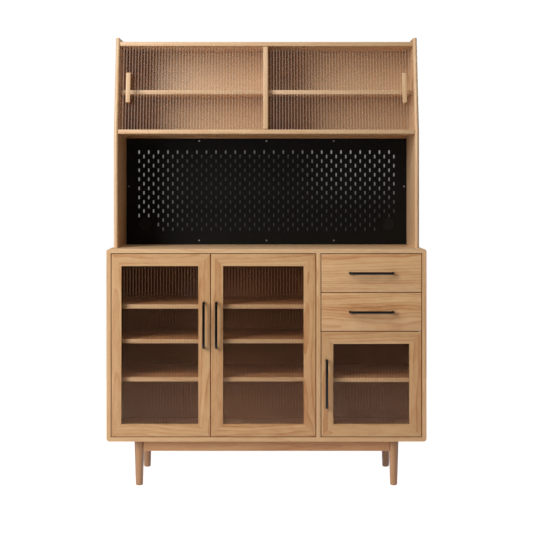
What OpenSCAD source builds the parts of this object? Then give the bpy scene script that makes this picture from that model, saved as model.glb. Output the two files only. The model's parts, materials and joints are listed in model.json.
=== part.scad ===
// Sideboard with a glazed case on four turned legs and a hutch that stands on its worktop.
// The front faces -Y, the right side faces +X and the feet stand on z = 0.

/* [Case] */
// Width of the case over its side panels
case_w = 1200; // [1100:10:1400]
// Depth of the case from its front edges to its back edges
case_d = 400; // [370:5:460]
// Height of the case from its underside to the worktop
case_h = 722; // [680:1:800]
// Thickness of the case panels, the divider and the shelves
panel_t = 16; // [15:1:22]
// Radius of the rounded outer corners of the case
corner_r = 11; // [5:1:14]
// Width of the bay with the drawers
right_bay_w = 381; // [330:1:450]
// Thickness of the thin back panels
back_t = 5; // [3:1:8]
// Distance from the back edges to a back panel
back_in = 10; // [2:1:16]

/* [Legs and aprons] */
// Height of the legs
leg_h = 173; // [120:1:240]
// Diameter of a leg under the case
leg_top_d = 38; // [32:1:48]
// Diameter of a leg above its rounded foot
leg_foot_d = 28; // [20:1:36]
// Radius of the rounding at the foot
foot_round = 6; // [2:1:9]
// Distance from the case's ends to a leg's widest point
leg_in_x = 100; // [60:5:160]
// Distance from the case's front to a leg's axis
leg_in_front = 45; // [35:1:80]
// Distance from the case's back to a leg's axis
leg_in_back = 42; // [35:1:80]
// Height of the aprons
apron_h = 43; // [30:1:70]
// Thickness of the aprons
apron_t = 18; // [14:1:22]
// Gap between an apron's coped end and its leg
apron_play = 0.2; // [0.1:0.1:0.5]

/* [Doors and drawer fronts] */
// Width of the left door
left_door_w = 371; // [320:1:420]
// Height of a drawer front
drawer_front_h = 143; // [120:1:170]
// Thickness of the doors and the drawer fronts
front_t = 20; // [18:1:24]
// How far the fronts lie behind the case's front edges
front_inset = 2; // [1:0.5:5]
// Gap beside a front
gap_x = 2.5; // [2.2:0.1:4]
// Gap above and below a front
gap_z = 2.8; // [2.6:0.1:5]
// Radius of the upright front edges of the fronts
front_edge_r = 2.5; // [1:0.5:4]
// Width of the door stiles
stile_w = 45; // [38:1:60]
// Width of the left door's hinge stile
left_stile_w = 37; // [34:1:60]
// Width of the door rails
rail_w = 45.5; // [36:0.5:60]
// Depth of the wooden lip in front of the glass
lip_t = 8; // [6:0.5:9]
// Width of the rebate that holds the glass
rebate_w = 8; // [6:0.5:11]
// Thickness of the strips that hold the glass from behind
bead_t = 5; // [3:0.5:5.5]

/* [Reeded glass] */
// Thickness of the glass over its reeds
glass_t = 5; // [4:0.5:6]
// Distance from one reed to the next
reed_pitch = 11.4; // [8:0.2:14]
// Radius of a reed's round face
reed_r = 13; // [9:0.5:18]
// Gap round a pane in its rebate
glass_play = 1; // [0.5:0.1:2]

/* [Door pivots] */
// Distance from the hinge edge of a door to its pivot axis
pivot_in_x = 6; // [5.5:0.1:7]
// Distance from the front of a door to its pivot axis
pivot_in_y = 6; // [5.5:0.1:7]
// Radius of a pivot pin
pivot_r = 2.5; // [2:0.1:3]
// Radial running clearance of a pivot pin
pivot_play = 0.05; // [0.02:0.01:0.1]
// Gap between a door and the bush flange that it turns on
flange_play = 0.4; // [0.3:0.1:0.6]
// Length of a pivot plate
plate_l = 36; // [28:1:44]
// Width of a pivot plate
plate_w = 10; // [9:0.5:11]
// Thickness of a pivot plate
plate_t = 2; // [1.5:0.1:3]
// Radius of a pivot bush
bush_r = 4.5; // [4:0.1:5]
// Radius of a bush flange
bush_flange_r = 5.8; // [5.2:0.1:6.4]
// How deep a bush is let into its panel
bush_l = 11; // [8:0.5:12]

/* [Handles] */
// Diameter of the bent rod of a metal handle
pull_rod_d = 10; // [7:0.5:12]
// How far a metal handle stands out from its front
pull_proj = 30; // [25:1:40]
// Radius of the bends on the rod's centre line
pull_bend_r = 11; // [9:0.5:14]
// Overall length of a tall door's handle
door_pull_l = 177; // [140:1:220]
// Overall length of the right door's handle
right_pull_l = 185; // [140:1:220]
// Overall length of a drawer handle
drawer_pull_l = 170; // [130:1:220]
// Distance from the left door's free edge to its handle
left_pull_in = 24.5; // [16:0.5:26]
// Distance from the other doors' free edges to their handles
pull_in = 20; // [16:0.5:26]
// Height of the tall doors' handles above the floor
tall_pull_z = 610; // [540:1:680]
// Height of the right door's handle above the floor
right_pull_z = 390; // [320:1:430]

/* [Shelves in the case] */
// Height of the lower left shelf's top above the floor
shelf_low_z = 409; // [340:1:450]
// Height of the middle left shelf's top above the floor
shelf_mid_z = 553; // [500:1:590]
// Height of the upper left shelf's top above the floor
shelf_high_z = 684; // [640:1:730]
// Height of the right shelf's top above the floor
shelf_right_z = 407; // [340:1:450]
// Distance from the case's front to the shelves
shelf_in = 32; // [27:1:60]
// Gap at each end of a loose shelf
shelf_play = 0.5; // [0.3:0.1:1.5]
// Radius of a shelf pin
pin_r = 2.5; // [2:0.1:3.5]
// Length of a shelf pin inside its panel, and of its free end
pin_l = 6; // [5:0.5:6.5]
// Distance from a shelf's front and back edges to its pins
pin_in = 45; // [30:1:80]

/* [Drawers] */
// Height of a drawer box
box_h = 100; // [80:1:110]
// Depth of a drawer box
box_d = 345; // [300:1:350]
// Thickness of a drawer box's sides
box_t = 12; // [10:0.5:15]
// Thickness of a drawer bottom
bottom_t = 5; // [3:0.5:7]
// Height of a drawer bottom above the box's lower edge
bottom_up = 9; // [6:1:14]
// How deep a drawer bottom sits in its grooves
bottom_groove = 5; // [3:0.5:7]
// Height of a drawer box's lower edge above its front's lower edge
box_up = 14; // [10:1:18]
// Depth of the board under the drawers, behind the fronts
base_board_gap = 3; // [2:0.5:6]

/* [Drawer slides] */
// Width of a slide, from panel to drawer box
slide_w = 12.7; // [12:0.1:14]
// Height of a slide
slide_h = 45; // [40:1:50]
// Length of a slide
slide_l = 340; // [300:5:345]
// Thickness of the slides' sheet steel
slide_t = 1.2; // [1:0.1:1.5]
// Gap between the members of a slide
slide_play = 0.5; // [0.3:0.1:0.8]
// Distance from the fronts' back face to a slide
slide_back = 2; // [1:0.5:6]

/* [Hutch] */
// Distance from the case's ends to the hutch's sides
hutch_side_in = 15.5; // [12:0.5:60]
// Height of the hutch above the worktop
hutch_h = 812; // [780:1:860]
// Thickness of the hutch's sides and boards
board_t = 16; // [14:0.5:18]
// Distance from the case's front to the hutch's front
hutch_in = 95; // [70:1:120]
// How far the slanted front leans back at the top
lean = 70; // [50:1:85]
// Height above the worktop where the front begins to lean
lean_up = 445; // [430:1:460]
// Height of the open bay above the worktop
open_bay_h = 436.5; // [400:0.5:440]
// How far the sides rise above the top board
side_rise = 16; // [8:1:24]
// Radius of the eased arrises on the sides' top ends
side_top_r = 4; // [2:0.5:4]
// Distance from the sides' front edges to the boards' edges
board_in = 3; // [0:0.5:6]
// Height of the hutch shelves' top above the bottom board
hutch_shelf_up = 156; // [120:1:190]
// Gap between the rear sliding door and the shelves' edges
shelf_clear = 5; // [3:0.5:12]

/* [Sliding doors] */
// Distance from the slanted front to the middle of the front door
slider_in = 16; // [13:0.5:18]
// Distance from the front door's middle to the rear door's middle
slider_step = 12; // [10:0.5:14]
// Gap at each face of a pane in its groove
groove_play = 0.5; // [0.3:0.1:0.8]
// Depth of the grooves under the panes
groove_low = 4.5; // [3:0.5:6]
// Depth of the grooves over the panes
groove_high = 9; // [7:0.5:10]
// How far a pane reaches into its upper groove
groove_bite = 5.5; // [4:0.5:6]
// Gap under a pane in its lower groove
rest_play = 0.3; // [0.3:0.1:0.6]
// Gap between a closed sliding door and the hutch side
slider_end_gap = 1; // [0.5:0.1:2]
// Width of the wooden edge strip on the front door
strip_w = 18; // [14:1:24]
// Thickness of the wooden edge strip
strip_t = 12; // [9:0.5:14]
// How far the edge strip reaches past the middle
strip_past = 5; // [3:1:9]
// How deep the pane sits in the edge strip
strip_groove = 6; // [4:0.5:9]
// Width of a wooden handle
grip_w = 16.5; // [12:0.5:22]
// Length of a wooden handle
grip_l = 117; // [90:1:150]
// Thickness of a wooden handle
grip_t = 8; // [6:0.5:11]
// Length of the posts between a wooden handle and its pane
grip_post_l = 13; // [10:0.5:16]
// Diameter of the posts, which end in holes through the pane
grip_post_d = 9; // [7:0.5:12]
// Distance from the hutch's side to the middle of a wooden handle
grip_in = 36; // [26:1:60]
// Height of a wooden handle's middle above the bottom board
grip_up = 159; // [130:1:200]

/* [Pegboard] */
// Thickness of the pegboard's sheet steel
peg_t = 2; // [1:0.5:3]
// Depth of the cleats behind the pegboard
cleat_d = 18; // [12:1:24]
// Height of the cleat over the pegboard's upper edge
cleat_show = 6.5; // [4:0.5:12]
// Height of the upper cleat behind the pegboard, and of the lower one
cleat_w = 30; // [24:1:34]
// Width of the upright cleats at the pegboard's ends
side_cleat_w = 18; // [16:1:24]
// Width of a slot
slot_w = 6; // [4:0.5:8]
// Length of a slot
slot_l = 15; // [12:0.5:17]
// Distance between the slots of a row
slot_pitch = 39; // [36:1:46]
// Distance between two rows
row_pitch = 18.4; // [17.5:0.1:21]
// Least distance from the pegboard's ends to a slot
slots_in_x = 44; // [32:1:70]
// Distance from the pegboard's upper edge to the top row
top_row_in = 55; // [50:1:70]
// Least distance from the pegboard's lower edge to a row
low_row_in = 60; // [40:1:90]
// Width of the cable grommets' holes
grommet_d = 42; // [36:1:50]
// Width of the rim round a grommet
grommet_rim = 3; // [2:0.5:5]
// Distance from the hutch's sides to the middle of a grommet
grommet_in = 75.5; // [64:0.5:90]
// Height of the grommets above the worktop
grommet_up = 83; // [75:1:90]
// Diameter of the pegboard's screw heads
screw_head_d = 6; // [4:0.5:9]
// Diameter of the pegboard's screws
screw_d = 3; // [2.5:0.1:3.5]
// Distance from the pegboard's edges to its screws
screw_in = 10; // [7:0.5:14]
// Distance between the screws of a row
screw_step = 273; // [200:1:300]
// Height of the screws at the pegboard's ends above its middle
end_screw_up = 20; // [0:1:60]

/* [Hidden] */
$fn = 48;

// Depths: front_y puts the middle of the whole, handles included, on y = 0
pull_past = pull_proj - front_inset;
front_y = pull_past - (case_d + pull_past) / 2;
back_y = front_y + case_d;
fronts_y0 = front_y + front_inset;
fronts_y1 = fronts_y0 + front_t;
back_panel_y = back_y - back_in - back_t;

// Heights of the case
case_z0 = leg_h;
case_z1 = leg_h + case_h;
in_z0 = case_z0 + panel_t;
in_z1 = case_z1 - panel_t;

// Widths of the case
in_x = case_w / 2 - panel_t;
div_x1 = in_x - right_bay_w;
div_x0 = div_x1 - panel_t;

// Outlines of the fronts
door_z0 = in_z0 + gap_z;
door_z1 = in_z1 - gap_z;
left_door_x0 = -in_x + gap_x;
left_door_x1 = left_door_x0 + left_door_w;
middle_door_x0 = left_door_x1 + gap_x;
middle_door_x1 = div_x0 - gap_x;
bay_x0 = div_x1 + gap_x;
bay_x1 = in_x - gap_x;
upper_z0 = door_z1 - drawer_front_h;
lower_z0 = upper_z0 - gap_z - drawer_front_h;
right_door_z1 = lower_z0 - gap_z;
tall_door_h = door_z1 - door_z0;
right_door_h = right_door_z1 - door_z0;

// The board under the drawers carries the bracket of the right door's upper pivot
bracket_gap = 0.4;
bracket_t = gap_z - 3 * bracket_gap;
base_board_z1 = right_door_z1 + bracket_gap;
base_board_y = fronts_y1 + base_board_gap;
bracket_w = 16;
bracket_seat = 45;

// Legs and aprons
leg_x = case_w / 2 - leg_in_x - leg_top_d / 2;
leg_front_y = front_y + leg_in_front;
leg_back_y = back_y - leg_in_back;
apron_z = leg_h - apron_h;

// Hutch
hutch_x = case_w / 2 - hutch_side_in;
hutch_in_x = hutch_x - board_t;
hutch_y = front_y + hutch_in;
hutch_z1 = case_z1 + hutch_h;
lean_z = case_z1 + lean_up;
lean_a = atan(lean / (hutch_z1 - lean_z));
low_board_z0 = case_z1 + open_bay_h;
low_board_z1 = low_board_z0 + board_t;
top_board_z1 = hutch_z1 - side_rise;
top_board_z0 = top_board_z1 - board_t;
edge_r = board_t / 2;
hutch_shelf_z1 = low_board_z1 + hutch_shelf_up;

// The sliding doors' planes, measured square to the slanted front
rear_slider_in = slider_in + slider_step;
groove_w = glass_t + 2 * groove_play;
inner_edge_in = rear_slider_in + glass_t / 2 + shelf_clear;

// Pegboard
peg_y1 = back_y - cleat_d;
peg_y0 = peg_y1 - peg_t;
peg_side_gap = 0.5;
peg_x = hutch_in_x - peg_side_gap;
peg_z0 = case_z1 + peg_side_gap;
peg_z1 = low_board_z0 - cleat_show;
grommet_x = hutch_in_x - grommet_in;
grommet_z = case_z1 + grommet_up;
slots_per_row = 1 + floor((2 * (peg_x - slots_in_x) - slot_pitch / 2 - slot_w) / slot_pitch);
slot_rows = 1 + floor((peg_z1 - peg_z0 - top_row_in - low_row_in) / row_pitch);

// Small lengths
eps = 0.01;
seam = 0.05;
bore_play = 0.05;
arris = 1;

// Height of a reed above the lines between the reeds
reed_h = reed_r - sqrt(reed_r * reed_r - reed_pitch * reed_pitch / 4);

// y of the slanted front at height z
function slant_y(z) = hutch_y + max(0, z - lean_z) * tan(lean_a);
// Distance along the slant of a point at height z that lies y behind the slanted front
function slant_up(z, y) = (z - lean_z + y * sin(lean_a)) / cos(lean_a);

// A plate with a front-view outline, from y0 to y1
module front_plate(y0, y1) {
    translate([0, y1, 0]) rotate([90, 0, 0]) linear_extrude(y1 - y0) children();
}

// A plate with a side-view outline of y and z, from x0 to x1
module side_plate(x0, x1) {
    translate([x0, 0, 0]) rotate([90, 0, 90]) linear_extrude(x1 - x0) children();
}

// A box between two corners
module block(low, high) {
    translate(low) cube(high - low);
}

// Places its children in the plane of the slanted front, with z up the slant
module on_slant() {
    translate([0, hutch_y, lean_z]) rotate([-lean_a, 0, 0]) children();
}

// Front view of the case: a rounded frame of one panel's thickness
module case_outline() {
    difference() {
        translate([0, case_z0]) union() {
            translate([-case_w / 2, corner_r]) square([case_w, case_h - 2 * corner_r]);
            translate([corner_r - case_w / 2, 0]) square([case_w - 2 * corner_r, case_h]);
            for (x = [-1, 1], z = [corner_r, case_h - corner_r])
                translate([x * (case_w / 2 - corner_r), z]) circle(r = corner_r);
        }
        translate([-in_x, in_z0]) square([2 * in_x, in_z1 - in_z0]);
    }
}

// One side of the case frame, cut off by the mitres at its two corners
module case_panel(mitred) {
    front_plate(front_y, back_y) intersection() {
        case_outline();
        polygon(mitred);
    }
}

// Blind holes for the shelf pins in a panel whose face is at x; side is the way into the panel
module pin_holes(x, side, levels) {
    for (z = levels, y = [shelf_pin_y0, shelf_pin_y1])
        translate([x, y, z - panel_t - pin_r]) rotate([0, side * 90, 0])
            translate([0, 0, -eps]) cylinder(r = pin_r + bore_play, h = pin_l + 1);
}

shelf_y0 = front_y + shelf_in;
shelf_pin_y0 = shelf_y0 + pin_in;
shelf_pin_y1 = back_panel_y - pin_in;
left_shelves = [shelf_low_z, shelf_mid_z, shelf_high_z];

// Axis of each door's pivots
pivot_y = fronts_y0 + pivot_in_y;
left_pivot_x = left_door_x0 + pivot_in_x;
middle_pivot_x = middle_door_x1 - pivot_in_x;
right_pivot_x = bay_x1 - pivot_in_x;

// Hole for a pivot bush, from a panel's face at z; up is 1 where the panel lies above
module bush_hole(x, z, up) {
    translate([x, pivot_y, z]) rotate([up > 0 ? 0 : 180, 0, 0])
        translate([0, 0, -eps]) cylinder(r = bush_r + bore_play, h = bush_l + eps);
}

module worktop() {
    color("burlywood") difference() {
        case_panel([[-case_w / 2, case_z1], [case_w / 2, case_z1], [in_x, in_z1],
            [-in_x, in_z1]]);
        for (x = [left_pivot_x, middle_pivot_x]) bush_hole(x, in_z1, 1);
    }
}

module case_bottom() {
    color("burlywood") difference() {
        case_panel([[-case_w / 2, case_z0], [case_w / 2, case_z0], [in_x, in_z0],
            [-in_x, in_z0]]);
        for (x = [left_pivot_x, middle_pivot_x, right_pivot_x]) bush_hole(x, in_z0, -1);
    }
}

module case_left_side() {
    color("burlywood") difference() {
        case_panel([[-case_w / 2, case_z0], [-case_w / 2, case_z1], [-in_x, in_z1],
            [-in_x, in_z0]]);
        pin_holes(-in_x, -1, left_shelves);
    }
}

module case_right_side() {
    color("burlywood") difference() {
        case_panel([[case_w / 2, case_z0], [case_w / 2, case_z1], [in_x, in_z1],
            [in_x, in_z0]]);
        pin_holes(in_x, 1, [shelf_right_z]);
    }
}

module case_divider() {
    color("burlywood") difference() {
        block([div_x0, front_y, in_z0], [div_x1, back_panel_y, in_z1]);
        pin_holes(div_x0, 1, left_shelves);
        pin_holes(div_x1, -1, [shelf_right_z]);
    }
}

module case_back_panel() {
    color("peru") block([-in_x, back_panel_y, in_z0], [in_x, back_panel_y + back_t, in_z1]);
}

// A loose shelf between two panel faces
module shelf(x0, x1, top_z) {
    block([x0 + shelf_play, shelf_y0, top_z - panel_t],
        [x1 - shelf_play, back_panel_y - shelf_play, top_z]);
}

module left_bay_shelves() {
    color("burlywood") for (z = left_shelves) shelf(-in_x, div_x0, z);
}

module right_bay_shelf() {
    color("burlywood") shelf(div_x1, in_x, shelf_right_z);
}

module drawer_base_board() {
    color("burlywood") block([div_x1, base_board_y, base_board_z1 - panel_t],
        [in_x, back_panel_y, base_board_z1]);
}

// Pins under both ends of a shelf
module shelf_pin_set(x0, x1, top_z) {
    for (x = [x0, x1], y = [shelf_pin_y0, shelf_pin_y1])
        translate([x - pin_l, y, top_z - panel_t - pin_r]) rotate([0, 90, 0])
            cylinder(r = pin_r, h = 2 * pin_l);
}

module shelf_pins() {
    color("silver") {
        for (z = left_shelves) shelf_pin_set(-in_x, div_x0, z);
        shelf_pin_set(div_x1, in_x, shelf_right_z);
    }
}

// A flanged bush with a blind bore, let into a panel at z
module bush(x, z, up) {
    flange_t = gap_z - flange_play;
    translate([x, pivot_y, z]) rotate([up > 0 ? 0 : 180, 0, 0]) difference() {
        union() {
            cylinder(r = bush_r, h = bush_l - bore_play);
            translate([0, 0, -flange_t]) cylinder(r = bush_flange_r, h = flange_t);
        }
        translate([0, 0, -flange_t - eps])
            cylinder(r = pivot_r + pivot_play, h = flange_t + bush_l - 1);
    }
}

module pivot_bushes() {
    color("dimgray") {
        for (x = [left_pivot_x, middle_pivot_x]) bush(x, in_z1, 1);
        for (x = [left_pivot_x, middle_pivot_x, right_pivot_x]) bush(x, in_z0, -1);
    }
}

// Steel strip that reaches forward over the right door and takes its upper pivot pin
module pivot_bracket() {
    color("silver") translate([0, 0, base_board_z1]) linear_extrude(bracket_t) difference() {
        union() {
            translate([right_pivot_x, pivot_y]) circle(d = pivot_in_y * 2 - arris);
            translate([right_pivot_x - pivot_in_y + arris / 2, pivot_y])
                square([pivot_in_y * 2 - arris, base_board_y - pivot_y + bracket_seat]);
            translate([right_pivot_x + pivot_in_y - arris / 2 - bracket_w, base_board_y])
                square([bracket_w, bracket_seat]);
        }
        translate([right_pivot_x, pivot_y]) circle(r = pivot_r + pivot_play);
    }
}

catch_l = 40;
catch_h = 12;
catch_gap = 0.5;

// Magnetic catches that the closed doors rest against
module door_catches() {
    color("dimgray") {
        for (x = [left_door_x1 - catch_l, middle_door_x0])
            block([x, fronts_y1 + catch_gap, in_z1 - catch_h],
                [x + catch_l, fronts_y1 + catch_gap + catch_h, in_z1]);
        block([div_x1, fronts_y1 + catch_gap, base_board_z1 - panel_t - 2 * catch_l],
            [div_x1 + catch_h, fronts_y1 + catch_gap + catch_h,
            base_board_z1 - panel_t - catch_l]);
    }
}

// Half outline of a leg, from its axis outwards, with a rounded foot
module leg_profile(grow) {
    foot_r = leg_foot_d / 2 + grow;
    polygon([[0, 0], [foot_r - foot_round, 0], [foot_r - foot_round, foot_round],
        [foot_r, foot_round], [leg_top_d / 2 + grow, leg_h], [0, leg_h]]);
    translate([foot_r - foot_round, foot_round]) intersection() {
        circle(r = foot_round);
        translate([0, -foot_round]) square([foot_round, foot_round]);
    }
}

// A turned leg
module leg(x, y) {
    translate([x, y, 0]) rotate_extrude() leg_profile(0);
}

module front_left_leg() {
    color("tan") leg(-leg_x, leg_front_y);
}

module front_right_leg() {
    color("tan") leg(leg_x, leg_front_y);
}

module rear_left_leg() {
    color("tan") leg(-leg_x, leg_back_y);
}

module rear_right_leg() {
    color("tan") leg(leg_x, leg_back_y);
}

// The upper part of a leg, grown by the gap that an apron's coped end keeps from it
module cope(x, y) {
    slope = (leg_top_d - leg_foot_d) / 2 / (leg_h - foot_round);
    translate([x, y, apron_z - 1])
        cylinder(r1 = leg_top_d / 2 + apron_play - slope * (apron_h + 1),
            r2 = leg_top_d / 2 + apron_play + slope, h = apron_h + 2);
}

// An apron between two legs that stand across the front or the back
module cross_apron(y) {
    difference() {
        block([-leg_x, y - apron_t / 2, apron_z], [leg_x, y + apron_t / 2, leg_h]);
        for (x = [-leg_x, leg_x]) cope(x, y);
    }
}

// An apron between a front leg and a rear leg
module end_apron(x) {
    difference() {
        block([x - apron_t / 2, leg_front_y, apron_z], [x + apron_t / 2, leg_back_y, leg_h]);
        for (y = [leg_front_y, leg_back_y]) cope(x, y);
    }
}

module front_apron() {
    color("burlywood") cross_apron(leg_front_y);
}

module rear_and_side_aprons() {
    color("burlywood") {
        cross_apron(leg_back_y);
        for (x = [-leg_x, leg_x]) end_apron(x);
    }
}

// Section of a board with its near edge fully rounded, from y = 0 backwards
module round_end(length) {
    translate([-edge_r, edge_r]) square([board_t, length - edge_r]);
    translate([0, edge_r]) circle(r = edge_r);
}

// Section of a board with two eased arrises of radius r at its near edge
module eased_end(length, r) {
    translate([-edge_r, r]) square([board_t, length - r]);
    translate([r - edge_r, 0]) square([board_t - 2 * r, 2 * r]);
    for (s = [-1, 1]) translate([s * (edge_r - r), r]) circle(r = r);
}

// A hutch side, with its front and slanted edges fully rounded and its top edge eased
module hutch_side(x) {
    far = 2 * hutch_h;
    translate([x, 0, 0]) intersection() {
        translate([0, hutch_y, case_z1]) linear_extrude(hutch_h) round_end(back_y - hutch_y);
        on_slant() translate([0, 0, -far / 2]) linear_extrude(far) round_end(far);
        front_plate(hutch_y, back_y) translate([0, hutch_z1]) mirror([0, 1])
            eased_end(hutch_h, side_top_r);
    }
}

module hutch_left_side() {
    color("wheat") hutch_side(edge_r - hutch_x);
}

module hutch_right_side() {
    color("wheat") hutch_side(hutch_x - edge_r);
}

// Groove in a board for a sliding pane, cut up or down from the board's face
module groove(y, z0, z1) {
    on_slant() block([-hutch_in_x - 1, y - groove_w / 2, z0], [hutch_in_x + 1, y + groove_w / 2,
        z1]);
}

module hutch_top_board() {
    color("wheat") difference() {
        block([-hutch_in_x, slant_y(top_board_z1) + board_in, top_board_z0],
            [hutch_in_x, back_y, top_board_z1]);
        for (y = [slider_in, rear_slider_in])
            groove(y, slant_up(top_board_z0 - board_t, y),
                slant_up(top_board_z0 + groove_high, y - groove_w / 2));
    }
}

module hutch_bottom_board() {
    color("wheat") difference() {
        block([-hutch_in_x, hutch_y + board_in, low_board_z0],
            [hutch_in_x, back_y, low_board_z1]);
        for (y = [slider_in, rear_slider_in])
            groove(y, slant_up(low_board_z1 - groove_low, y + groove_w / 2),
                slant_up(low_board_z1 + board_t, y));
    }
}

// Front edge of what stands behind the sliding doors, at height z
function inner_edge_y(z) = hutch_y + (z - lean_z) * tan(lean_a) + inner_edge_in / cos(lean_a);

module hutch_divider() {
    color("wheat") side_plate(-board_t / 2, board_t / 2)
        polygon([[inner_edge_y(low_board_z1), low_board_z1],
            [inner_edge_y(top_board_z0), top_board_z0], [back_panel_y, top_board_z0],
            [back_panel_y, low_board_z1]]);
}

module hutch_shelves() {
    color("wheat") for (side = [-1, 1])
        block([side > 0 ? board_t / 2 : -hutch_in_x, inner_edge_y(hutch_shelf_z1),
            hutch_shelf_z1 - board_t],
            [side > 0 ? hutch_in_x : -board_t / 2, back_panel_y, hutch_shelf_z1]);
}

module hutch_back_panel() {
    color("peru") block([-hutch_in_x, back_panel_y, low_board_z1],
        [hutch_in_x, back_panel_y + back_t, top_board_z0]);
}

// An upright slot with round ends
module slot() {
    square([slot_w, slot_l - slot_w], center = true);
    for (s = [-1, 1]) translate([0, s * (slot_l - slot_w) / 2]) circle(d = slot_w);
}

// Places of the pegboard's screws, as x and z
peg_screws = concat(
    [for (z = [peg_z0 + screw_in + 6, peg_z1 - screw_in], i = [-1, 0, 1]) [i * screw_step, z]],
    [for (s = [-1, 1]) [s * (peg_x - screw_in), (peg_z0 + peg_z1) / 2 + end_screw_up]]);

// Steel sheet with staggered slots, left plain in its lower corners round the grommets
module pegboard_panel() {
    grommet_room = 49;
    color("black") front_plate(peg_y0, peg_y1) difference() {
        translate([-peg_x, peg_z0]) square([2 * peg_x, peg_z1 - peg_z0]);
        for (row = [0 : slot_rows - 1], i = [0 : slots_per_row - 1]) {
            x = (i - (slots_per_row - 1) / 2) * slot_pitch + (row % 2 - 0.5) * slot_pitch / 2;
            z = peg_z1 - top_row_in - row * row_pitch;
            if (abs(x) < grommet_x - grommet_room || z > grommet_z + grommet_room / 2)
                translate([x, z]) slot();
        }
        for (x = [-grommet_x, grommet_x]) translate([x, grommet_z]) circle(d = grommet_d);
        for (p = peg_screws) translate(p) circle(d = screw_d + 0.4);
    }
}

// Pan-head screws that hold the pegboard to its cleats
module pegboard_screws() {
    head_t = 2;
    color("gray") for (p = peg_screws) translate([p[0], peg_y0, p[1]]) rotate([-90, 0, 0]) {
        translate([0, 0, -head_t]) cylinder(d = screw_head_d, h = head_t);
        translate([0, 0, -eps]) cylinder(d = screw_d, h = peg_t + cleat_d / 2);
    }
}

// Wooden cleats round the open bay that the pegboard is screwed to
module pegboard_cleats() {
    color("burlywood") difference() {
        union() {
            block([-hutch_in_x, peg_y1, low_board_z0 - cleat_w - cleat_show],
                [hutch_in_x, back_y, low_board_z0]);
            block([-hutch_in_x, peg_y1, case_z1], [hutch_in_x, back_y, case_z1 + cleat_w]);
            for (s = [-1, 1])
                block([s > 0 ? hutch_in_x - side_cleat_w : -hutch_in_x, peg_y1,
                    case_z1 + cleat_w + seam], [s > 0 ? hutch_in_x : side_cleat_w - hutch_in_x,
                    back_y, low_board_z0 - cleat_w - cleat_show - seam]);
        }
        for (p = peg_screws) translate([p[0], peg_y1 - eps, p[1]]) rotate([-90, 0, 0])
            cylinder(d = screw_d + 0.1, h = cleat_d / 2 + 0.5);
    }
}

// Plastic cable grommets with a rim, a sleeve and a dished lid
module cable_grommets() {
    rim_t = 1.5;
    sleeve_l = 6;
    wall = 1.5;
    lid_t = 1.2;
    color("black") for (x = [-grommet_x, grommet_x])
        translate([x, peg_y0, grommet_z]) rotate([-90, 0, 0]) rotate_extrude()
            difference() {
                union() {
                    translate([0, -rim_t]) square([grommet_d / 2 + grommet_rim, rim_t]);
                    square([grommet_d / 2 - bore_play, peg_t + sleeve_l]);
                }
                translate([-1, -rim_t - 1])
                    square([grommet_d / 2 - wall + 1, rim_t + 1]);
                translate([-1, lid_t])
                    square([grommet_d / 2 - wall + 1, peg_t + sleeve_l]);
            }
}

// Half sizes in height of the nested slide members
slide_z1 = slide_h / 2;
slide_z2 = slide_z1 - slide_t - slide_play;
slide_z3 = slide_z2 - slide_t - slide_play;
slide_y0 = fronts_y1 + slide_back;

// A channel-shaped slide member, from x0 at its web to x1 at its flange edges
module channel(x0, x1, half) {
    side = x1 > x0 ? 1 : -1;
    translate([min(x0, x0 + side * slide_t), -half]) square([slide_t, 2 * half]);
    for (z = [-half, half - slide_t])
        translate([min(x0, x1), z]) square([abs(x1 - x0), slide_t]);
}

// Runs a slide outline along the drawer; side is 1 for the slide on the bay's left panel
module slide_run(z, side) {
    translate([side > 0 ? div_x1 : in_x, 0, z + slide_h / 2])
        front_plate(slide_y0, slide_y0 + slide_l) mirror([side > 0 ? 0 : 1, 0]) children();
}

// Lower edge of the slides of a drawer whose front starts at z
function slide_z(front_z0) = front_z0 + box_up + (box_h - slide_h) / 2;

module slide_cabinet_members() {
    color("silver") for (z = [slide_z(upper_z0), slide_z(lower_z0)], side = [-1, 1])
        slide_run(z, side) channel(0, slide_w - slide_t - 1.5, slide_z1);
}

// The members between cabinet and drawer, which run out half as far as the drawer
module slide_middles(z) {
    color("gainsboro") for (side = [-1, 1])
        slide_run(z, side) channel(slide_t + slide_play, slide_w - slide_t - 2, slide_z2);
}

module upper_slide_middles() {
    slide_middles(slide_z(upper_z0));
}

module lower_slide_middles() {
    slide_middles(slide_z(lower_z0));
}

module drawer_members(z) {
    color("silver") for (side = [-1, 1])
        slide_run(z, side) channel(slide_w, 2 * (slide_t + slide_play), slide_z3);
}

module upper_drawer_members() {
    drawer_members(slide_z(upper_z0));
}

module lower_drawer_members() {
    drawer_members(slide_z(lower_z0));
}

// Plan outline of a front with rounded upright edges, from x0 to x1
module front_plan(x0, x1) {
    translate([x0, fronts_y0]) union() {
        translate([front_edge_r, 0]) square([x1 - x0 - 2 * front_edge_r, front_t]);
        translate([0, front_edge_r]) square([x1 - x0, front_t - front_edge_r]);
        for (x = [front_edge_r, x1 - x0 - front_edge_r])
            translate([x, front_edge_r]) circle(r = front_edge_r);
    }
}

module drawer_front(z) {
    color("burlywood") translate([0, 0, z]) linear_extrude(drawer_front_h)
        front_plan(bay_x0, bay_x1);
}

module upper_drawer_front() {
    drawer_front(upper_z0);
}

module lower_drawer_front() {
    drawer_front(lower_z0);
}

box_x0 = div_x1 + slide_w;
box_x1 = in_x - slide_w;
box_y1 = fronts_y1 + box_d;

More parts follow.
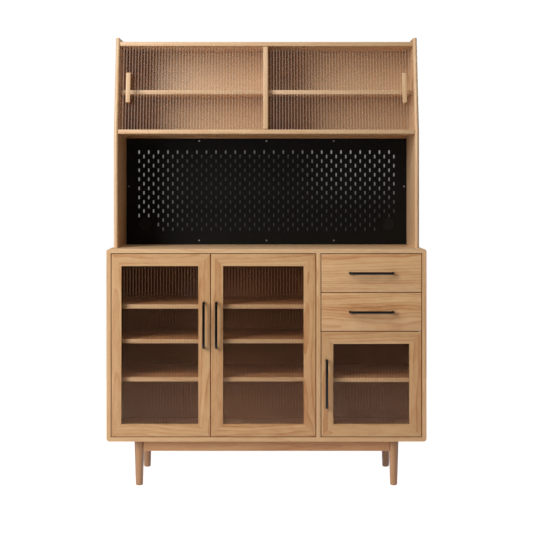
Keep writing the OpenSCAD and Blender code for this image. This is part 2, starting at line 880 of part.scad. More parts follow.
// Four walls of a drawer box, grooved for the bottom
module drawer_box(front_z0) {
    z = front_z0 + box_up;
    color("wheat") difference() {
        union() {
            for (x = [box_x0, box_x1 - box_t])
                block([x, fronts_y1, z], [x + box_t, box_y1, z + box_h]);
            for (y = [fronts_y1, box_y1 - box_t])
                block([box_x0 + box_t + eps, y, z], [box_x1 - box_t - eps, y + box_t, z + box_h]);
        }
        block([box_x0 + box_t - bottom_groove, fronts_y1 + box_t - bottom_groove,
            z + bottom_up - bore_play],
            [box_x1 - box_t + bottom_groove, box_y1 - box_t + bottom_groove,
            z + bottom_up + bottom_t + bore_play]);
    }
}

module upper_drawer_box() {
    drawer_box(upper_z0);
}

module lower_drawer_box() {
    drawer_box(lower_z0);
}

module drawer_bottom(front_z0) {
    z = front_z0 + box_up + bottom_up;
    edge = box_t - bottom_groove + 0.3;
    color("peru") block([box_x0 + edge, fronts_y1 + edge, z],
        [box_x1 - edge, box_y1 - edge, z + bottom_t]);
}

module upper_drawer_bottom() {
    drawer_bottom(upper_z0);
}

module lower_drawer_bottom() {
    drawer_bottom(lower_z0);
}

// A bent-rod handle that stands upright on a face at y = 0, with its middle at the origin
module pull(length) {
    reach = pull_proj - pull_rod_d / 2;
    straight = length - pull_rod_d - 2 * pull_bend_r;
    color("black") {
        translate([0, -reach, -straight / 2]) cylinder(d = pull_rod_d, h = straight);
        for (end = [0, 1]) mirror([0, 0, end]) translate([0, pull_bend_r - reach, straight / 2]) {
            rotate([90, 0, -90]) rotate_extrude(angle = 90)
                translate([pull_bend_r, 0]) circle(d = pull_rod_d);
            translate([0, 0, pull_bend_r]) rotate([-90, 0, 0])
                cylinder(d = pull_rod_d, h = reach - pull_bend_r);
        }
    }
}

module drawer_pull(z) {
    translate([(bay_x0 + bay_x1) / 2, fronts_y0, z + drawer_front_h / 2]) rotate([0, 90, 0])
        pull(drawer_pull_l);
}

module upper_drawer_handle() {
    drawer_pull(upper_z0);
}

module lower_drawer_handle() {
    drawer_pull(lower_z0);
}

module left_door_handle() {
    translate([left_door_x1 - left_pull_in, fronts_y0, tall_pull_z]) pull(door_pull_l);
}

module middle_door_handle() {
    translate([middle_door_x0 + pull_in, fronts_y0, tall_pull_z]) pull(door_pull_l);
}

module right_door_handle() {
    translate([bay_x0 + pull_in, fronts_y0, right_pull_z]) pull(right_pull_l);
}

// Recesses for the pivot plates in a door's ends; side is 1 where the door hangs on its left
module plate_recesses(x, z0, z1, side) {
    for (z = [z0 - eps, z1 - plate_t - bore_play])
        block([side > 0 ? x - plate_w / 2 : x + plate_w / 2 - plate_l, pivot_y - plate_w / 2, z]
            - [bore_play, bore_play, 0],
            [side > 0 ? x - plate_w / 2 + plate_l : x + plate_w / 2, pivot_y + plate_w / 2,
            z + plate_t + bore_play + eps] + [bore_play, bore_play, 0]);
}

// Four mitred members with a rebate for the glass, and the four strips that hold the glass
module door_frame(x0, x1, z0, z1, left_w, right_w, pivot_x, side) {
    a = [x0 + left_w, z0 + rail_w];
    b = [x1 - right_w, z1 - rail_w];
    low = a[1] + seam;
    high = b[1] - seam;
    mitred = [
        [[x0, z0 + seam], [x0, z1 - seam], [a[0], high], [a[0], low]],
        [[x1, z0 + seam], [x1, z1 - seam], [b[0], high], [b[0], low]],
        [[x0, z1], [x1, z1], b, [a[0], b[1]]],
        [[x0, z0], [x1, z0], [b[0], a[1]], a]
    ];
    color("burlywood") for (member = mitred) difference() {
        intersection() {
            front_plate(fronts_y0, fronts_y1) polygon(member);
            translate([0, 0, z0]) linear_extrude(z1 - z0) front_plan(x0, x1);
        }
        block([a[0] - rebate_w, fronts_y0 + lip_t, a[1] - rebate_w],
            [b[0] + rebate_w, fronts_y1 + 1, b[1] + rebate_w]);
        plate_recesses(pivot_x, z0, z1, side);
    }
    color("tan") glass_strips(a, b);
}

// Strips behind the glass: the upright ones run through, the level ones fit between them
module glass_strips(a, b) {
    y0 = fronts_y0 + lip_t + glass_t + seam;
    for (x = [a[0] - rebate_w, b[0]])
        block([x + seam, y0, a[1] - rebate_w + seam],
            [x + rebate_w - seam, y0 + bead_t, b[1] + rebate_w - seam]);
    for (z = [a[1] - rebate_w, b[1]])
        block([a[0], y0, z + seam], [b[0], y0 + bead_t, z + rebate_w - seam]);
}

// A pane with upright reeds on its front, whose crests lie at y = 0, and a smooth back
module reeded_pane(w, h) {
    reeds = floor(w / reed_pitch);
    first = (w - reeds * reed_pitch + reed_pitch) / 2;
    linear_extrude(h) intersection() {
        square([w, glass_t]);
        union() {
            translate([0, reed_h]) square([w, glass_t - reed_h]);
            for (i = [0 : reeds - 1])
                translate([first + i * reed_pitch, reed_r]) circle(r = reed_r);
        }
    }
}

// The pane of a framed door, loose in its rebate
module door_pane(x0, x1, z0, z1, left_w, right_w) {
    edge = rebate_w - glass_play;
    color("lightcyan", 0.5) translate([x0 + left_w - edge, fronts_y0 + lip_t, z0 + rail_w - edge])
        reeded_pane(x1 - x0 - left_w - right_w + 2 * edge, z1 - z0 - 2 * rail_w + 2 * edge);
}

// Plates in both ends of a door, each with a pin; pin_top is how far the upper pin stands up
module door_pivots(x, z0, z1, side, pin_top) {
    pin_low = gap_z + bush_l - 3;
    color("silver") for (end = [0, 1]) {
        z = end > 0 ? z1 - plate_t : z0;
        rise = end > 0 ? pin_top : pin_low;
        block([side > 0 ? x - plate_w / 2 : x + plate_w / 2 - plate_l, pivot_y - plate_w / 2, z],
            [side > 0 ? x - plate_w / 2 + plate_l : x + plate_w / 2, pivot_y + plate_w / 2,
            z + plate_t]);
        translate([x, pivot_y, end > 0 ? z1 - eps : z0 - rise])
            cylinder(r = pivot_r, h = rise + eps);
    }
}

module left_door_frame() {
    door_frame(left_door_x0, left_door_x1, door_z0, door_z1, left_stile_w, stile_w,
        left_pivot_x, 1);
}

module left_door_glass() {
    door_pane(left_door_x0, left_door_x1, door_z0, door_z1, left_stile_w, stile_w);
}

module left_door_pivots() {
    door_pivots(left_pivot_x, door_z0, door_z1, 1, gap_z + bush_l - 3);
}

module middle_door_frame() {
    door_frame(middle_door_x0, middle_door_x1, door_z0, door_z1, stile_w, stile_w,
        middle_pivot_x, -1);
}

module middle_door_glass() {
    door_pane(middle_door_x0, middle_door_x1, door_z0, door_z1, stile_w, stile_w);
}

module middle_door_pivots() {
    door_pivots(middle_pivot_x, door_z0, door_z1, -1, gap_z + bush_l - 3);
}

module right_door_frame() {
    door_frame(bay_x0, bay_x1, door_z0, right_door_z1, stile_w, stile_w, right_pivot_x, -1);
}

module right_door_glass() {
    door_pane(bay_x0, bay_x1, door_z0, right_door_z1, stile_w, stile_w);
}

module right_door_pivots() {
    door_pivots(right_pivot_x, door_z0, right_door_z1, -1, gap_z - bracket_gap);
}

// Places of a wooden handle's middle on a sliding pane, across it and up the slant
left_grip_x = grip_in - hutch_in_x;
right_grip_x = hutch_in_x - grip_in;
function grip_z(y) = slant_up(low_board_z1 + grip_up, y);

// The two posts of a wooden handle, from y0 to y1 on the slant
module grip_posts(x, y, d, y0, y1) {
    for (s = [-1, 1]) translate([x, y1, grip_z(y) + s * (grip_l - grip_post_d) / 2])
        rotate([90, 0, 0]) cylinder(d = d, h = y1 - y0);
}

// A pane that slides in the grooves at a distance y behind the slanted front, drilled for
// the posts of its handle
module sliding_pane(x0, x1, y, grip_x) {
    z0 = slant_up(low_board_z1 - groove_low + rest_play, y + glass_t / 2);
    z1 = slant_up(top_board_z0 + groove_bite, y - glass_t / 2);
    color("lightcyan", 0.5) on_slant() difference() {
        translate([x0, y - glass_t / 2, z0]) reeded_pane(x1 - x0, z1 - z0);
        grip_posts(grip_x, y, grip_post_d + 2 * bore_play, y - glass_t, y + glass_t);
    }
}

// A wooden bar on two posts that run through the pane
module grip(x, y) {
    face = y - glass_t / 2;
    color("wheat") on_slant() {
        translate([x, face, grip_z(y)]) block([-grip_w / 2, -grip_post_l - grip_t, -grip_l / 2],
            [grip_w / 2, -grip_post_l - seam, grip_l / 2]);
        grip_posts(x, y, grip_post_d, face - grip_post_l, y + glass_t / 2);
    }
}

strip_x0 = strip_past - strip_w;
pane_end_x = hutch_in_x - slider_end_gap;

module front_slider_glass() {
    sliding_pane(-pane_end_x, strip_x0 + strip_groove - 0.2, slider_in, left_grip_x);
}

module front_slider_strip() {
    z0 = slant_up(low_board_z1 + 1, slider_in + strip_t / 2);
    z1 = slant_up(top_board_z0 - 1, slider_in - strip_t / 2);
    color("wheat") on_slant() difference() {
        block([strip_x0, slider_in - strip_t / 2, z0], [strip_past, slider_in + strip_t / 2, z1]);
        block([strip_x0 - 1, slider_in - glass_t / 2 - bore_play, z0 - 1],
            [strip_x0 + strip_groove, slider_in + glass_t / 2 + bore_play, z1 + 1]);
    }
}

module front_slider_handle() {
    grip(left_grip_x, slider_in);
}

module rear_slider_glass() {
    sliding_pane(strip_x0, pane_end_x, rear_slider_in, right_grip_x);
}

module rear_slider_handle() {
    grip(right_grip_x, rear_slider_in);
}

worktop();
case_left_side();
case_right_side();
case_bottom();
case_divider();
case_back_panel();
left_bay_shelves();
right_bay_shelf();
drawer_base_board();
shelf_pins();
pivot_bushes();
pivot_bracket();
door_catches();
front_left_leg();
front_right_leg();
rear_left_leg();
rear_right_leg();
front_apron();
rear_and_side_aprons();
hutch_left_side();
hutch_right_side();
hutch_top_board();
hutch_bottom_board();
hutch_divider();
hutch_shelves();
hutch_back_panel();
pegboard_panel();
pegboard_screws();
pegboard_cleats();
cable_grommets();
slide_cabinet_members();
upper_slide_middles();
lower_slide_middles();
upper_drawer_front();
upper_drawer_box();
upper_drawer_bottom();
upper_drawer_members();
upper_drawer_handle();
lower_drawer_front();
lower_drawer_box();
lower_drawer_bottom();
lower_drawer_members();
lower_drawer_handle();
left_door_frame();
left_door_glass();
left_door_handle();
left_door_pivots();
middle_door_frame();
middle_door_glass();
middle_door_handle();
middle_door_pivots();
right_door_frame();
right_door_glass();
right_door_handle();
right_door_pivots();
front_slider_glass();
front_slider_strip();
front_slider_handle();
rear_slider_glass();
rear_slider_handle();
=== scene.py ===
"""A sideboard with a hutch: the studio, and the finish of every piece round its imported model."""
import json
import random
from math import radians

import bmesh
import bpy
from mathutils import Matrix, Vector


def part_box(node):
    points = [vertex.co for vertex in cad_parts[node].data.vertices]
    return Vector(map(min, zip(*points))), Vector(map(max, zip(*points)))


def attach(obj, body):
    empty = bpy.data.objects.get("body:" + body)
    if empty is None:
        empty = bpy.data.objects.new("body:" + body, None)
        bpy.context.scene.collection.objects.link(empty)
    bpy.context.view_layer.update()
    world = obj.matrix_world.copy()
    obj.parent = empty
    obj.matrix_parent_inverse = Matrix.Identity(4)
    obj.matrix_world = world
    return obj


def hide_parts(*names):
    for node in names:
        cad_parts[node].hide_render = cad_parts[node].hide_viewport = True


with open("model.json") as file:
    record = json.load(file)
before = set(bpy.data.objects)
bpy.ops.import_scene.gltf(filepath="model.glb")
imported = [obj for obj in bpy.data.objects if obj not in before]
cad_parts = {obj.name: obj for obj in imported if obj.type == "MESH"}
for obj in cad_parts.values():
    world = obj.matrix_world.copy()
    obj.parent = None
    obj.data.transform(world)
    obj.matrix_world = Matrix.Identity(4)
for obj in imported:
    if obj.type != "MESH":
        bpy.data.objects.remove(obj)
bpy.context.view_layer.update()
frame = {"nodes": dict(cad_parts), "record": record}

# The camera. It looks straight at the front from chest height and stays level, so that
# uprights stay upright, and its picture is shifted down until the legs come into view.
case_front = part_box("case_left_side")[0][1]
camera_distance = 4.6
camera_height = 1.116
camera_lens = 82.9
sensor_width = 36
picture_shift = -0.1435

camera_data = bpy.data.cameras.new("camera")
camera_data.sensor_width = sensor_width
camera_data.lens = camera_lens
camera_data.shift_y = picture_shift
camera = bpy.data.objects.new("camera", camera_data)
camera.location = (0, case_front - camera_distance, camera_height)
camera.rotation_euler = (radians(90), 0, 0)
bpy.context.scene.collection.objects.link(camera)
bpy.context.scene.camera = camera

# The studio: a sheet of pale floor, one tall soft lamp at the left of the camera, weaker ones
# overhead and at the back, and white paper all round. A dark card, a painted shade of a wall
# behind the pegboard, stands between the cleats, shows only through its slots, and can't be seen
# from behind.
bpy.context.scene.view_settings.view_transform = "Standard"


class Value:
    """One socket of a finish, with arithmetic that adds its Math nodes."""

    def __init__(self, finish, socket):
        self.finish, self.socket = finish, socket

    def sum(self, operation, first, second=0.0):
        return self.finish.node("ShaderNodeMath", {"operation": operation},
                                {0: first, 1: second})

    def __add__(self, other):
        return self.sum("ADD", self, other)

    def __radd__(self, other):
        return self.sum("ADD", other, self)

    def __sub__(self, other):
        return self.sum("SUBTRACT", self, other)

    def __rsub__(self, other):
        return self.sum("SUBTRACT", other, self)

    def __mul__(self, other):
        return self.sum("MULTIPLY", self, other)

    def __rmul__(self, other):
        return self.sum("MULTIPLY", other, self)

    def __truediv__(self, other):
        return self.sum("DIVIDE", self, other)

    def __pow__(self, other):
        return self.sum("POWER", self, other)

    def fraction(self):
        return self.sum("FRACT", self)

    def step(self, start, end):
        """Rises softly from 0 to 1 between two values."""
        return self.finish.node("ShaderNodeMapRange", {"interpolation_type": "SMOOTHSTEP"},
                                {0: self, 1: start, 2: end})


class Finish:
    """The nodes of one material, or of the world."""

    def __init__(self, owner):
        owner.use_nodes = True
        self.owner, self.tree = owner, owner.node_tree
        self.tree.nodes.clear()

    def node(self, kind, settings=None, inputs=None, out=0):
        """A node with its settings made first, then its inputs filled or linked."""
        made = self.tree.nodes.new(kind)
        for name, value in (settings or {}).items():
            if name == "stops":
                ramp = made.color_ramp
                while len(ramp.elements) < len(value):
                    ramp.elements.new(1)
                for element, (place, colour) in zip(ramp.elements, value):
                    element.position, element.color = place, (*colour, 1)
            else:
                setattr(made, name, value)
        for name, value in (inputs or {}).items():
            if isinstance(value, Value):
                self.tree.links.new(value.socket, made.inputs[name])
            else:
                made.inputs[name].default_value = value
        return Value(self, made.outputs[out]) if made.outputs else None

    def parts(self, vector):
        """The three coordinates of a vector."""
        return [self.node("ShaderNodeSeparateXYZ", {}, {0: vector}, out) for out in range(3)]

    def stretched(self, place, scale):
        """Coordinates multiplied by a scale along each axis."""
        return self.node("ShaderNodeVectorMath", {"operation": "MULTIPLY"}, {0: place, 1: scale})

    def noise(self, place, detail=2, roughness=0.5):
        """Soft noise from 0 to 1, one wave to each unit of the coordinates."""
        return self.node("ShaderNodeTexNoise", {}, {"Vector": place, "Scale": 1.0,
                         "Detail": detail, "Roughness": roughness}, "Fac")

    def ramp(self, value, *stops):
        """A colour for each value, between stops that are pairs of a value and its colour."""
        return self.node("ShaderNodeValToRGB", {"stops": stops}, {0: value})

    def bump(self, height, distance, strength=1.0):
        """A relief, which is as deep as the distance in metres where the height is 1."""
        return self.node("ShaderNodeBump", {}, {"Height": height, "Distance": distance,
                         "Strength": strength}, "Normal")

    def surface(self, **inputs):
        """The closing Principled shader."""
        names = {name.replace("_", " "): value for name, value in inputs.items()}
        shader = self.node("ShaderNodeBsdfPrincipled", {}, names)
        self.node("ShaderNodeOutputMaterial", {}, {"Surface": shader})
        return self.owner


black, white = (0, 0, 0), (1, 1, 1)
warm_light = (1, 0.97, 0.92)
lamp_aim = Vector((0, 0, 0.95))


def lamp(name, place, wide, high, power, colour=warm_light):
    """A soft box that faces the sideboard."""
    data = bpy.data.lights.new(name, "AREA")
    data.shape = "RECTANGLE"
    data.size, data.size_y, data.energy, data.color = wide, high, power, colour
    holder = bpy.data.objects.new(name, data)
    holder.location = place
    holder.rotation_euler = (lamp_aim - Vector(place)).to_track_quat("-Z", "Y").to_euler()
    bpy.context.scene.collection.objects.link(holder)


lamp("key_lamp", (-2.85, -3.05, 2.55), wide=2.0, high=3.4, power=185, colour=(1, 0.975, 0.93))
lamp("top_lamp", (0, -2.4, 4.0), wide=4.0, high=2.4, power=40)
lamp("back_lamp", (2.8, 3.4, 2.3), wide=2.4, high=3.0, power=95)


def studio_sheet(name, centre, half_sizes, tilt, finish):
    """A flat sheet of the studio, which isn't part of the object."""
    mesh = bmesh.new()
    bmesh.ops.create_grid(mesh, x_segments=1, y_segments=1, size=1)
    bmesh.ops.scale(mesh, vec=(*half_sizes, 1), verts=mesh.verts)
    bmesh.ops.rotate(mesh, cent=(0, 0, 0), matrix=Matrix.Rotation(radians(tilt), 3, "X"),
                     verts=mesh.verts)
    bmesh.ops.translate(mesh, vec=centre, verts=mesh.verts)
    data = bpy.data.meshes.new(name)
    mesh.to_mesh(data)
    mesh.free()
    finish.cycles.emission_sampling = "NONE"
    data.materials.append(finish)
    sheet = bpy.data.objects.new(name, data)
    bpy.context.scene.collection.objects.link(sheet)


# The floor looks almost white. Where the lacquer and the glass mirror it, it glows cooler and
# brighter than it looks: a painted reflection. The ramp takes 0 for all other light, 0.5 for what
# is seen and 1 for what is mirrored.
painted_reflection_glow, seen_glow = 2.1, 0.95
seen_colour = tuple(c * seen_glow / painted_reflection_glow for c in white)
painted_reflection_colour = (0.71, 0.82, 1)
paint = Finish(bpy.data.materials.new("floor_paint"))
place = paint.node("ShaderNodeTexCoord", out="Object")
mottle = paint.noise(paint.stretched(place, (3, 3, 3)))
seen = paint.node("ShaderNodeLightPath", out="Is Camera Ray")
mirrored = paint.node("ShaderNodeLightPath", out="Is Glossy Ray")
studio_sheet("floor", centre=(0, 0, 0), half_sizes=(3.6, 2.5), tilt=0, finish=paint.surface(
    Base_Color=paint.ramp(mottle, (0.3, (0.47, 0.39, 0.30)), (0.7, (0.51, 0.43, 0.34))),
    Roughness=0.75, Emission_Strength=painted_reflection_glow,
    Emission_Color=paint.ramp(seen * 0.5 + mirrored, (0.0, black), (0.4, seen_colour),
                              (0.6, seen_colour), (1.0, painted_reflection_colour))))

# The card is painted shade, dark as a wall in shadow, and it glows a little more along its top
# and at its two ends, which is painted light. The places are in metres up from the floor and to
# the right of the middle.
panel_low, panel_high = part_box("pegboard_panel")
card_behind, card_in_at_ends, card_in_at_top = 0.012, 0.006, 0.015
plain_glow, top_glow, left_glow, high_left_glow, right_glow = 0.028, 0.07, 0.04, 0.11, 0.16
shade_card = Finish(bpy.data.materials.new("painted_shade_card"))
right, _, up = shade_card.parts(shade_card.node("ShaderNodeTexCoord", out="Object"))
at_left, at_right = (0 - right).step(0.28, 0.52), right.step(0.10, 0.30)
painted_glow = plain_glow + up.step(1.251, 1.266) * top_glow + \
    at_left * (up.step(0.946, 1.036) * high_left_glow + left_glow) + \
    at_right * up.step(1.016, 1.216) * right_glow
from_behind = shade_card.node("ShaderNodeNewGeometry", out="Backfacing")
studio_sheet("painted_shade_card",
             centre=(0, panel_high[1] + card_behind, (panel_low[2] + panel_high[2]) / 2),
             half_sizes=(panel_high[0] - card_in_at_ends,
                         (panel_high[2] - panel_low[2]) / 2 - card_in_at_top),
             tilt=90,
             finish=shade_card.surface(Base_Color=(*black, 1), Roughness=1.0, Specular_IOR_Level=0.0,
                                Emission_Color=shade_card.ramp(painted_glow, (0.0, black), (1.0, white)),
                                Emission_Strength=1.0, Alpha=1 - from_behind))

# The paper all round is white where it is seen, and gives the object only a little warm
# light, as the walls of a room do.
paper_light = (0.05, 0.036, 0.023)
world = bpy.data.worlds.new("studio")
bpy.context.scene.world = world
world.cycles.sampling_method = "NONE"
paper = Finish(world)
seen = paper.node("ShaderNodeLightPath", out="Is Camera Ray")
paper.node("ShaderNodeOutputWorld", {}, {"Surface": paper.node("ShaderNodeBackground", {}, {
    "Color": paper.ramp(seen, (0.0, paper_light), (1.0, white)), "Strength": 1.0})})

# The case: worktop, bottom and two sides of light oak board, joined by mitres and glued, and
# the divider between the bays. The arrises are eased and the wood has a matt lacquer.
home = {node: body for body, nodes in frame["record"]["behaviour"]["bodies"].items()
        for node in nodes}
slot = {part["node"]: part["material_slot"] for part in frame["record"]["subparts"]}
chance = random.Random(7)


def settled(mesh, name, node, *finishes):
    """Turns a bmesh into the piece that stands for a node and moves with its body."""
    smooth_up_to = radians(30)
    data = bpy.data.meshes.new(name)
    mesh.to_mesh(data)
    mesh.free()
    data.shade_smooth()
    data.set_sharp_from_angle(angle=smooth_up_to)
    for finish in finishes:
        data.materials.append(finish)
    piece = bpy.data.objects.new(name, data)
    bpy.context.scene.collection.objects.link(piece)
    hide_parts(node)
    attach(piece, home[node])
    return piece


def merged(node):
    """A copy of a node's loose triangles as one clean mesh."""
    same_point, same_plane = 1e-5, radians(0.5)
    mesh = bmesh.new()
    mesh.from_mesh(frame["nodes"][node].data)
    bmesh.ops.remove_doubles(mesh, verts=mesh.verts, dist=same_point)
    bmesh.ops.dissolve_limit(mesh, angle_limit=same_plane, verts=mesh.verts, edges=mesh.edges)
    return mesh


def sticks(mesh):
    """The separate sticks of wood in a mesh, each as its vertices, in the mesh's own order."""
    left = dict.fromkeys(mesh.verts)
    while left:
        stick = []
        reached = [next(iter(left))]
        while reached:
            for v in reached:
                del left[v]
            stick += reached
            near = [e.other_vert(v) for v in reached for e in v.link_edges]
            reached = [v for v in dict.fromkeys(near) if v in left]
        yield stick


def lay_grain(mesh):
    """Gives each stick its own coordinates along, across and through the grain, and a tone."""
    plank_length, heart_off = 40, 0.5
    grain = mesh.verts.layers.float_vector.new("grain")
    tone = mesh.verts.layers.float.new("tone")
    for stick in sticks(mesh):
        spans = [max(v.co[i] for v in stick) - min(v.co[i] for v in stick) for i in range(3)]
        middle = [sum(v.co[i] for v in stick) / len(stick) for i in range(3)]
        run, width, depth = sorted(range(3), key=lambda i: -spans[i])
        cut_at = chance.uniform(0, plank_length)
        heart = chance.uniform(-heart_off, heart_off) * spans[width]
        own_tone = chance.random()
        for v in stick:
            v[grain] = (v.co[run] + cut_at, v.co[width] - middle[width] + heart,
                        v.co[depth] - middle[depth])
            v[tone] = own_tone


def mitre(face):
    """Whether a face is the cut of a mitre joint, which stays sharp and closed."""
    slanting = 0.3
    return abs(face.normal.x) > slanting and abs(face.normal.z) > slanting


def board(node, finish, ease=0.0012):
    """A wooden node with its sharp outer arrises eased and its grain laid."""
    corner = radians(35)
    mesh = merged(node)
    mesh.normal_update()
    arrises = [e for e in mesh.edges if e.is_manifold and e.is_convex
               and e.calc_face_angle() > corner and not any(mitre(f) for f in e.link_faces)]
    bmesh.ops.bevel(mesh, geom=arrises, offset=ease, offset_type="OFFSET", segments=2,
                    profile=0.5, affect="EDGES", clamp_overlap=True, material=-1)
    lay_grain(mesh)
    return settled(mesh, "oak_" + node, node, finish)


def wood(name, pale, deep, matt=0.42, lively=1.0, open_pored=1.0):
    """Lacquered wood, flat sawn: growth rings round a leaning pith line, fibres and pores."""
    oak = Finish(bpy.data.materials.new(name))
    grain = oak.node("ShaderNodeAttribute", {"attribute_name": "grain"}, out="Vector")
    tone = oak.node("ShaderNodeAttribute", {"attribute_name": "tone"}, out="Fac")
    along, across, through = oak.parts(grain)

    def streaks(lengthwise, crosswise, detail, roughness=0.5):
        """Noise drawn out along the grain, with so many waves in a metre each way."""
        scale = (lengthwise, crosswise, crosswise)
        return oak.noise(oak.stretched(grain, scale), detail, roughness)

    # The rings, in metres: how deep the pith lies behind the stick, how far it leans in each
    # metre, how wide a ring is, and how far the rings sway across and through, and wander.
    pith, lean, ring = 0.055, 0.016, 0.0085
    sway_across, sway_through, wander = 0.05, 0.04, 0.007
    sway = streaks(1.6, 5, 3) - 0.5
    ripple = streaks(4, 14, 2) - 0.5
    radius = ((across + sway * sway_across) ** 2
              + (through + pith + sway * sway_through) ** 2) ** 0.5 + \
        ripple * wander + along * lean
    late = (radius / ring).fraction() ** 3

    # Good and poor seasons tint the rings in bands, which change slowly along the stick.
    seasons, drift, tones_apart = 60, 0.8, 20
    season = oak.noise(oak.node("ShaderNodeCombineXYZ", {}, {
        0: radius * seasons, 1: along * drift, 2: tone * tones_apart}), 2) - 0.5

    mottle = streaks(16, 75, 3, 0.6) - 0.5
    fibre = streaks(9, 420, 3, 0.6) - 0.5
    pore = streaks(45, 1500, 1).step(0.66, 0.76)

    # How much each of them darkens the wood, from 0, pale, to 1, the dark veins.
    late_share, mean_late, mottle_share = 0.32 * lively, 0.25, 0.6 * lively
    fibre_share, pore_share = 0.35 * open_pored, 0.25 * open_pored
    tone_share, sway_share, mean_dark = 0.12, 0.2, 0.42
    dark = season * lively + (late - mean_late) * late_share + fibre * fibre_share + \
        mottle * mottle_share + (tone - 0.5) * tone_share + sway * sway_share + \
        pore * pore_share + mean_dark
    middle = tuple((a * 0.55 + b * 0.45) for a, b in zip(pale, deep))
    vein = tuple(c * share for c, share in zip(deep, (0.80, 0.70, 0.60)))
    colour = oak.ramp(dark, (0.0, pale), (0.45, middle), (0.8, deep), (1.0, vein))
    pore_depth = 0.0002 * open_pored
    return oak.surface(Base_Color=colour, Roughness=matt + fibre * 0.2,
                       Normal=oak.bump(fibre * 0.4 - pore, pore_depth, 0.5))


case_oak = wood("case_oak", (0.78, 0.54, 0.31), (0.52, 0.26, 0.11), lively=0.7)
for node in ("case_bottom", "case_left_side", "case_right_side", "case_divider"):
    board(node, case_oak)
# The worktop's oak is a paler, less saturated copy of the case's: a painted highlight of the light
# from above.
highlit_worktop_oak = wood("highlit_worktop_oak", (0.80, 0.59, 0.365), (0.54, 0.29, 0.135), lively=0.7)
board("worktop", highlit_worktop_oak, ease=0.003)

# Inside the case: loose shelves on steel pins, with oak lippings, whose level faces are a darker
# oak that paints the shade on their tops and undersides, the board under the drawers, and the
# thin back panel in its grooves, in a dark brown that paints the deep shade at the back of the
# case.
shelf_painted_shade = wood("shelf_painted_shade", (0.54, 0.29, 0.135), (0.36, 0.14, 0.05), lively=0.5)
for node in ("left_bay_shelves", "right_bay_shelf"):
    shelf = board(node, case_oak)
    shelf.data.materials.append(shelf_painted_shade)
    # The tops and undersides take the darker oak, which paints their shade.
    for face in shelf.data.polygons:
        painted_shade_face = abs(face.normal.z) > 0.99
        face.material_index = 1 if painted_shade_face else 0
board("drawer_base_board", case_oak)
# The back panel's dark brown paints the deep shade at the back of the case.
back_panel_painted_shade = wood("back_panel_painted_shade", (0.26, 0.098, 0.026), (0.17, 0.058, 0.015), lively=0.5)
board("case_back_panel", back_panel_painted_shade)

# The legs are turned from solid oak and screwed up into the case. The aprons between them
# are coped to the legs' taper.
leg_oak = wood("leg_oak", (0.515, 0.305, 0.155), (0.34, 0.145, 0.058), lively=0.7)
for node in ("front_left_leg", "front_right_leg", "rear_left_leg", "rear_right_leg"):
    board(node, leg_oak, ease=0.0005)
apron_oak = wood("apron_oak", (0.74, 0.445, 0.235), (0.49, 0.215, 0.084), lively=0.7)
for node in ("front_apron", "rear_and_side_aprons"):
    board(node, apron_oak)

# The doors: mitred oak frames, rebated from behind for the glass, which is held by thin
# strips. The fronts have the liveliest grain.
door_oak = wood("door_oak", (0.71, 0.475, 0.255), (0.43, 0.185, 0.066))
for node in ("left_door_frame", "middle_door_frame", "right_door_frame"):
    board(node, door_oak)

# The drawers: oak fronts screwed to grooved boxes of birch, with thin bottoms that slide
# into the grooves.
drawer_oak = wood("drawer_oak", (0.80, 0.55, 0.31), (0.50, 0.225, 0.085), lively=0.95)
birch = wood("birch", (0.84, 0.68, 0.48), (0.66, 0.46, 0.28), matt=0.55, lively=0.6)
for drawer in ("upper_drawer", "lower_drawer"):
    board(drawer + "_front", drawer_oak)
    board(drawer + "_box", birch)
    board(drawer + "_bottom", birch, ease=0.0004)

# The hutch: two sides whose rounded front edges lean back, boards, a divider and shelves
# housed between them, a thin veneered back panel, and the cleats behind the pegboard. The
# sliding panes' edge strip, and their handles on posts through the glass, are the same oak.
# The hutch's oak is a little paler and less saturated than the case's: partly its own tone, partly
# a painted highlight of the whiter light from above.
hutch_oak = wood("hutch_oak", (0.79, 0.58, 0.37), (0.55, 0.305, 0.15), lively=0.7)
for node in ("hutch_left_side", "hutch_right_side", "hutch_top_board", "hutch_bottom_board",
             "hutch_divider", "hutch_shelves", "front_slider_strip", "front_slider_handle",
             "rear_slider_handle"):
    board(node, hutch_oak)
panel_oak = wood("panel_oak", (0.80, 0.59, 0.375), (0.57, 0.33, 0.165), lively=0.35,
                 open_pored=0.15)
board("hutch_back_panel", panel_oak)
board("pegboard_cleats", case_oak)

# The panes: clear glass, pressed in upright reeds on the front and smooth behind, with
# ground edges. They stand in the door frames and in the grooves of the hutch.
reed_pitch = 0.0114


def glass(name, colour, mirrored, painted_stripe_share=0.0, painted_stripe_tone=0.25, rough=0.14, grazing=0.5):
    """Clear glass whose mirrored share takes a painted tint, and whose reed flanks show a painted
    stripe of light.
    """
    clear = Finish(bpy.data.materials.new(name))
    haze_scale, haze_share = (9, 9, 9), 0.06
    place = clear.node("ShaderNodeTexCoord", out="Object")
    haze = clear.noise(clear.stretched(place, haze_scale), 3)

    # The flanks of each reed, which is 0 at its left edge and 1 at its right. The wider flank, on
    # the left towards the key lamp, shows the painted stripe of light.
    reed = clear.node("ShaderNodeAttribute", {"attribute_name": "reed"}, out="Fac").fraction()
    left_flank, right_flank = 1 - reed.step(0.2, 0.45), reed.step(0.88, 1.0)
    painted_stripe_mask = left_flank + right_flank

    # Glass mirrors more at a slant, by the fifth power, and what isn't mirrored or painted in the
    # stripes goes through.
    slant = clear.node("ShaderNodeLayerWeight", {}, {"Blend": 0.5}, "Facing")
    mirror = slant ** 5 * grazing + mirrored
    whole = painted_stripe_mask * painted_stripe_share + mirror
    painted_stripe_colour = tuple(c * painted_stripe_tone for c in colour)
    return clear.surface(Base_Color=clear.ramp(painted_stripe_mask, (0.0, colour), (1.0, painted_stripe_colour)), Alpha=whole,
                         Metallic=mirror / whole, Roughness=haze * haze_share + rough)
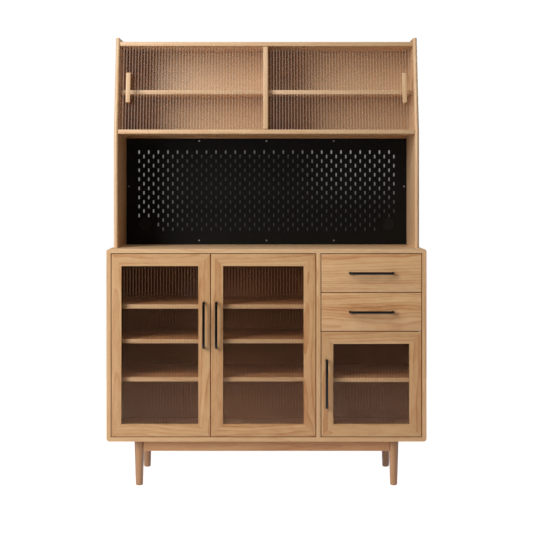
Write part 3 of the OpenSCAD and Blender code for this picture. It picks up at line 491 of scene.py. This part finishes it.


# The panes' colours are painted light: the door reeds mirror in an orange tint, a painted
# reflection, the door backs lay a faint dark brown veil, a painted shade over the inside of the
# case, and the slider panes' reeds and backs mirror in warm tints, a painted reflection.
door_glass = (glass("door_reeds", (1, 0.54, 0.32), mirrored=0.036, painted_stripe_share=0.09, painted_stripe_tone=0.6,
                    grazing=0.1),
              glass("door_backs_painted_shade", (0.1, 0.04, 0.02), mirrored=0.11))
slider_glass = (glass("slider_reeds", (1, 0.80, 0.70), mirrored=0.001, painted_stripe_share=0.19,
                      painted_stripe_tone=0.68, rough=0.34, grazing=0.01),
                glass("slider_backs", (1, 0.74, 0.6), mirrored=0.001))
for node in ("left_door_glass", "middle_door_glass", "right_door_glass",
             "front_slider_glass", "rear_slider_glass"):
    pane = merged(node)
    pane.normal_update()
    reed = pane.verts.layers.float.new("reed")
    ends = [v.co.x for v in pane.verts]
    middle, wide = (min(ends) + max(ends)) / 2, max(ends) - min(ends)
    reeds = wide // reed_pitch
    for v in pane.verts:
        v[reed] = (v.co.x - middle) / reed_pitch + reeds / 2
    for face in pane.faces:
        faces_front = face.normal.y < -0.5
        face.material_index = 0 if faces_front else 1
    settled(pane, "clear_" + node, node, *(slider_glass if "slider" in node else door_glass))


# The metal: handles bent from round rod and the pegboard's sheet in black powder coat, and
# zinc on the pins, screws, pivots and slides. The bushes, catches and grommets are plastic.
def coat(name, colour, rough, metal=0.0, sheen=0.5):
    """A coat or a moulding with a fine grit in its gloss and faint clouds in its colour."""
    grit, clouds, grit_depth = (900, 900, 900), (7, 7, 7), 0.0001
    made = Finish(bpy.data.materials.new(name))
    place = made.node("ShaderNodeTexCoord", out="Object")
    grains = made.noise(made.stretched(place, grit))
    cloud = made.noise(made.stretched(place, clouds))
    darker, lighter = [tuple(c * share for c in colour) for share in (0.85, 1.15)]
    return made.surface(Base_Color=made.ramp(cloud, (0.3, darker), (0.7, lighter)),
                        Metallic=metal, Roughness=rough + (grains - 0.5) * 0.15,
                        Specular_IOR_Level=sheen, Normal=made.bump(grains, grit_depth, 0.4))


def coated(node, finish):
    """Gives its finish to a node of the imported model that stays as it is."""
    materials = frame["nodes"][node].data.materials
    materials.clear()
    materials.append(finish)


black_rod = coat("black_powder_coat", (0.002, 0.0016, 0.001), rough=0.26, sheen=0.2)
black_sheet = coat("black_sheet", (0.0027, 0.0025, 0.002), rough=0.46, sheen=0.17)
zinc = coat("zinc", (0.55, 0.56, 0.58), rough=0.35, metal=1.0)
plastic = coat("dark_plastic", (0.005, 0.005, 0.005), rough=0.42, sheen=0.25)
for node in ("left_door_handle", "middle_door_handle", "right_door_handle",
             "upper_drawer_handle", "lower_drawer_handle"):
    settled(merged(node), "rod_" + node, node, black_rod)
coated("pegboard_panel", black_sheet)
for node in ("pivot_bushes", "door_catches", "cable_grommets"):
    coated(node, plastic)
for node in slot:
    if slot[node] == "zinc_steel":
        coated(node, zinc)
